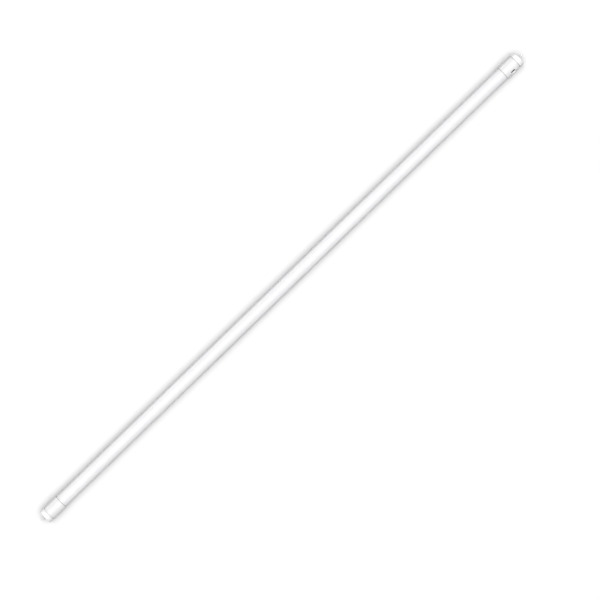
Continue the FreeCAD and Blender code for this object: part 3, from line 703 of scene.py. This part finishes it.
for piece, side in bothEnds(makeSleeve(), "end_sleeve"):
    keepShade(piece)
    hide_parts(f"sleeve_{side}")
    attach(piece, "tube")
print("sleeves ready")

head = {
    "sides": 192,
    "length": 9.5 * mm,
    "shoulder": 12.4 * mm,
    "shoulderGap": 0.1 * mm,
    "hub": 10.2 * mm,
    "hubBore": 8.4 * mm,
    "ringGroove": 9.6 * mm,
    "ringPlay": 0.1 * mm,
    "lug": 12.0 * mm,
    "lugHalf": 10,             # degrees
    "lugRoot": 0.1 * mm,
    "lugRound": 0.12 * mm,
    "notchDepth": 0.55 * mm,
    "notchWidth": 1.8 * mm,
    "faceWall": 2.5 * mm,
    "faceRound": 1.8 * mm,
    "faceFlat": 11.0 * mm,
    "rimSteps": 8,
    "backRound": 0.4 * mm,
    "flutes": 48,
    "fluteDepth": 0.2 * mm,
    "fluteBack": 1.2 * mm,
    "fluteFront": 0.6 * mm,
    "fluteRamp": (0.1 * mm, 0.3 * mm),   # before and past each end of a flute
    "pinAcross": 6.35 * mm,
    "pinHole": 1.38 * mm,
    "arrowUp": 9.1 * mm,
    "arrowRadius": 1.45 * mm,
    "arrowDepth": 0.3 * mm,
    "arrowLength": 1.6 * mm,   # of the cutter, most of it in front of the face
}
headBack = faceReach - head["length"]


def pushIn(piece, wanted, radius, depth):
    # a band of the turned surface is drawn in towards the tube's axis
    selectWhere(piece, wanted)
    factor = 1 - depth / radius
    bpy.ops.transform.resize(value=(1, factor, factor), center_override=(0, 0, 0))
    bpy.ops.object.mode_set(mode="OBJECT")


def pushFlutes(piece):
    # every fourth column of the rim is drawn in a little, between the two rounded edges
    low = headBack + head["fluteBack"] - 2 * slack
    high = faceReach - head["faceRound"] - head["fluteFront"] + 2 * slack
    pitch = 2 * math.pi / head["flutes"]
    halfColumn = 0.13    # of a flute's pitch, so that one column is taken in four

    def inFlute(spot):
        if not low < spot.x < high or math.hypot(spot.y, spot.z) < headRadius - slack:
            return False
        turn = math.atan2(spot.z, spot.y) / pitch
        return abs(turn - round(turn)) < halfColumn

    pushIn(piece, inFlute, headRadius, head["fluteDepth"])


def pushNotches(piece):
    # pointed click notches round the hub's end, each column as deep as the slope has it there
    column = 2 * math.pi / head["sides"]
    columnWidth = column * head["hub"]
    perClick = round(clickPitch / column)
    for away in (0, 1, 2):
        depth = head["notchDepth"] * (1 - away * columnWidth / (head["notchWidth"] / 2))

        def onSlope(spot):
            if spot.x > clickBand[1] + slack / 10 or math.hypot(spot.y, spot.z) < head["hub"] - slack / 2:
                return False
            step = round(math.atan2(spot.z, spot.y) / column) % perClick
            return min(step, perClick - step) == away

        pushIn(piece, onSlope, head["hub"], depth)


def arrowCutter():
    # a small engraved arrow that points the way the light leaves
    length = head["arrowLength"]
    middle = faceReach - head["arrowDepth"] + length / 2
    clearSelection()
    bpy.ops.mesh.primitive_cylinder_add(vertices=3, radius=head["arrowRadius"], depth=length,
                                        location=(middle, 0, head["arrowUp"]),
                                        rotation=(0, math.pi / 2, 0))
    arrow = placeInMesh(bpy.context.object, "cutter")
    top = max(vertex.co.z for vertex in arrow.data.vertices)
    pointsUp = sum(vertex.co.z > top - slack for vertex in arrow.data.vertices) == 2
    if not pointsUp:
        arrow.matrix_world = Matrix.Translation((0, 0, 2 * head["arrowUp"])) @ Matrix.Scale(-1, 4, (0, 0, 1))
        placeInMesh(arrow, "cutter")
        mergeAndFace(arrow)
    return arrow


def roundedRim():
    # the quarter round between the rim and the face
    reach, steps = head["faceRound"], head["rimSteps"]
    turns = [math.pi / 2 * step / steps for step in range(steps + 1)]
    return [(faceReach - reach + reach * math.sin(turn), headRadius - reach + reach * math.cos(turn))
            for turn in turns]


def makeHead():
    fluteLow = headBack + head["fluteBack"]
    fluteHigh = faceReach - head["faceRound"] - head["fluteFront"]
    before, past = head["fluteRamp"]
    inside = faceReach - head["faceWall"]
    shoulderBack = sleeveFront + head["shoulderGap"]
    grooveLow = ringLow[0] - head["ringPlay"]
    grooveHigh = ringHigh[0] + head["ringPlay"]
    hub = head["hub"]
    body = turnedPiece("head_shell", [
        (hubEnd, head["hubBore"]), (hubEnd, hub), (clickBand[1], hub), (clickBand[1] + 0.06 * mm, hub),
        (grooveLow, hub), (grooveLow, head["ringGroove"]),
        (grooveHigh, head["ringGroove"]), (grooveHigh, hub),
        (shoulderBack, hub), (shoulderBack, head["shoulder"]), (headBack, head["shoulder"]),
        (headBack, headRadius - head["backRound"]), (headBack + 0.12 * mm, headRadius - 0.12 * mm),
        (headBack + head["backRound"], headRadius),
        (fluteLow - before, headRadius), (fluteLow + past, headRadius), (fluteHigh - past, headRadius)]
        + roundedRim()
        + [(faceReach, head["faceFlat"]), (faceReach, 0), (inside, 0), (inside, head["hubBore"])],
        head["sides"])
    pushFlutes(body)
    pushNotches(body)
    cutters = []
    for side in (-1, 1):
        spot = (side * head["pinAcross"], 0)
        cutters.append(roundCutter(inside - overcut, faceReach + overcut, spot, head["pinHole"]))
    cutWith(body, joinPieces(cutters + [arrowCutter()], "cutter"))
    lug = ringPiece("lug", lugBand, (hub - head["lugRoot"], head["lug"]), (-head["lugHalf"], head["lugHalf"]))
    softenEdges(lug, head["lugRound"], 2, 50)
    body = joinPieces([body, lug], "turning_head")
    shadeSmooth(body, 34)
    setFinish(body, headWhite)
    return body


for piece, side in bothEnds(makeHead(), "turning_head"):
    keepShade(piece)
    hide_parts(f"head_{side}")
    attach(piece, f"{side}_head")
print("heads ready")

pin = {
    "sides": 48,
    "radius": 1.175 * mm,
    "seat": 1.35 * mm,
    "tail": 1.0 * mm,
    "collar": 1.8 * mm,
    "collarSpan": (4.5 * mm, 2.5 * mm),     # behind the face
    "tipRound": 0.75 * mm,
    "tipSteps": 6,
    "crimpOut": 4.6 * mm,                   # a ring pressed into the pin, in front of the face
    "crimpDepth": 0.09 * mm,
    "crimpHalf": (0.5 * mm, 0.15 * mm),     # half its width at the skin and at the bottom
    "tailRound": 0.1 * mm,
    "dimple": 0.42 * mm,
    "dimpleDepth": 0.4 * mm,
}


def makePin(side):
    radius = pin["radius"]
    collarStart, collarEnd = (faceReach - reach for reach in pin["collarSpan"])
    crimp = faceReach + pin["crimpOut"]
    pressed = radius - pin["crimpDepth"]
    wide, narrow = pin["crimpHalf"]
    reach = pin["tipRound"]
    steps = pin["tipSteps"]
    turns = [math.pi / 2 * step / steps for step in range(steps + 1)]
    rounding = [(pinTip - reach + reach * math.sin(turn), radius - reach + reach * math.cos(turn))
                for turn in turns]
    body = turnedPiece("pin", [
        (pinTail, 0), (pinTail, pin["tail"] - pin["tailRound"]), (pinTail + pin["tailRound"], pin["tail"]),
        (collarStart, pin["tail"]), (collarStart, pin["collar"]), (collarEnd, pin["collar"]),
        (collarEnd, pin["seat"]), (faceReach, pin["seat"]), (faceReach, radius),
        (crimp - wide, radius), (crimp - narrow, pressed), (crimp + narrow, pressed), (crimp + wide, radius)]
        + rounding + [(pinTip, pin["dimple"]), (pinTip - 0.35 * mm, pin["dimple"] * 0.6),
                      (pinTip - pin["dimpleDepth"], 0)],
        pin["sides"], closed=False)
    body.location = (0, side * head["pinAcross"], 0)
    return placeInMesh(body, "pin")


pins = joinPieces([makePin(-1), makePin(1)], "contact_pins")
shadeSmooth(pins, 40)
setFinish(pins, nickel)
for piece, side in bothEnds(pins, "contact_pins"):
    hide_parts(f"pins_{side}")
    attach(piece, f"{side}_head")
print("pins ready")

studio = {
    "floorSize": 8.0,
    "floorColours": ((0.947, 0.947, 0.947), (0.955, 0.955, 0.955)),
    "skyColour": (0.985, 0.985, 1.0),
    "skyStrength": 0.9,
    # a wide overhead panel, low fills across the tube from its upper left and lower right, and a
    # glow from under the table
    "panel": {"strength": 3.28, "height": math.radians(94), "spread": math.radians(76)},
    "leftFill": {"strength": 0.8, "height": math.radians(10), "spread": math.radians(20)},
    "rightFill": {"strength": 0.25, "height": math.radians(170), "spread": math.radians(20)},
    "tableGlow": {"strength": 1.3, "height": math.radians(-90), "spread": math.radians(60)},
}


def addFloor():
    clearSelection()
    bpy.ops.mesh.primitive_grid_add(x_subdivisions=8, y_subdivisions=8, size=studio["floorSize"],
                                    location=(0, 0, cadBox[0][2]))
    floor = placeInMesh(bpy.context.object, "paleFloor")
    material, tree, shader, place = startMaterial("palePaper")
    grain = addNoise(tree, place, 3, 2)
    tree.links.new(mixColours(tree, grain, *studio["floorColours"]), shader.inputs["Base Color"])
    shader.inputs["Roughness"].default_value = 0.9
    shader.inputs["Specular IOR Level"].default_value = 0.1
    setFinish(floor, material)
    keepShade(floor)
    floor.visible_shadow = False    # the table glows through, and lights the underside


def addSun(name, light):
    # a distant lamp, its height turned up from the floor on the view's upper left
    level = (viewUp - viewRight).normalized() * math.cos(light["height"])
    source = level + Vector((0, 0, math.sin(light["height"])))
    lamp = bpy.data.lights.new(name, "SUN")
    lamp.energy = light["strength"]
    lamp.angle = light["spread"]
    sun = bpy.data.objects.new(name, lamp)
    sun.rotation_euler = source.to_track_quat("Z", "Y").to_euler()
    bpy.context.collection.objects.link(sun)


def addLight():
    scene = bpy.context.scene
    scene.view_settings.view_transform = "Standard"
    world = bpy.data.worlds.new("paleSky")
    world.use_nodes = True
    sky = world.node_tree.nodes["Background"]
    sky.inputs["Color"].default_value = (*studio["skyColour"], 1)
    sky.inputs["Strength"].default_value = studio["skyStrength"]
    world.cycles_visibility.diffuse = False    # seen and mirrored, but the panel alone lights the set
    scene.world = world
    addSun("overheadPanel", studio["panel"])
    addSun("leftFill", studio["leftFill"])
    addSun("rightFill", studio["rightFill"])
    addSun("tableGlow", studio["tableGlow"])


addFloor()
addLight()
print("floor and light ready")
